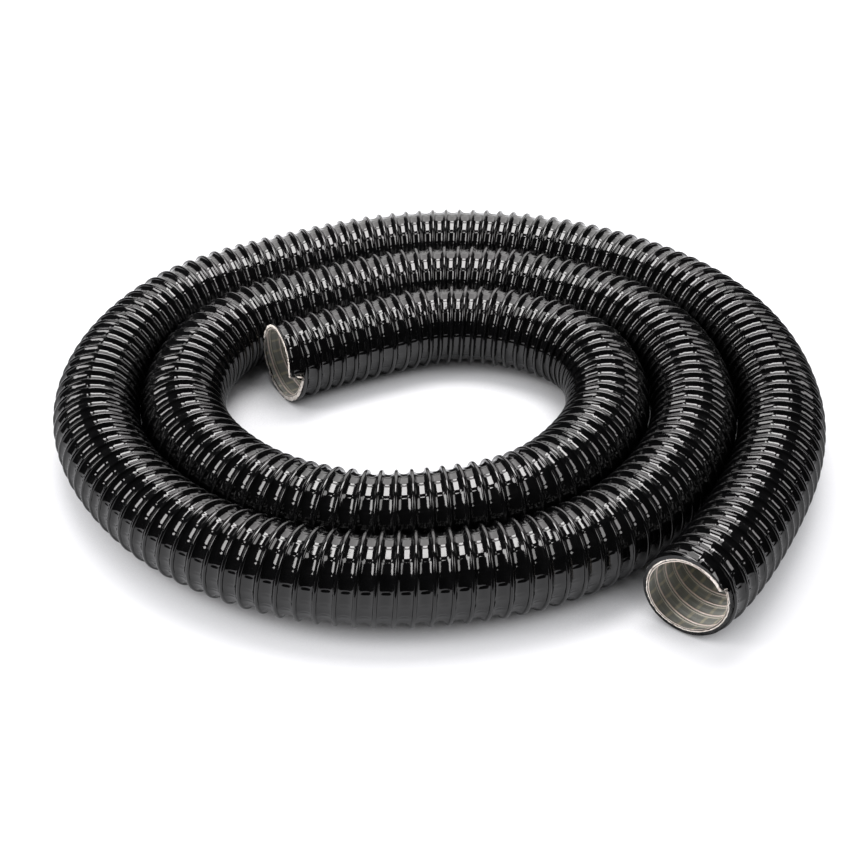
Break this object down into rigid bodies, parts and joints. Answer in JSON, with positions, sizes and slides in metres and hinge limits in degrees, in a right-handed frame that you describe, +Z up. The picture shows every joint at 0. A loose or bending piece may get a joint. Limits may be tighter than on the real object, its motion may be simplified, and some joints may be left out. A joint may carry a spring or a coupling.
{
  "type": "fume extraction hose",
  "caption": "Flexible ribbed hose with a glossy black skin and a pale grey liner, lying in a loose flat coil, open at both cut ends.",
  "frame": {"origin": "middle of the coil's outline, on the floor it lies on", "axes": "+X along the coil's longer side, +Z up; the outer end opens towards -Y on the +X side"},
  "size_m": [0.4704, 0.4078, 0.052],
  "materials": {
    "outer_skin": "high gloss",
    "inner_liner": "satin"
  },
  "bodies": {
    "root": {"outer_skin": "outer_skin", "inner_liner": "inner_liner"}
  },
  "joints": []
}
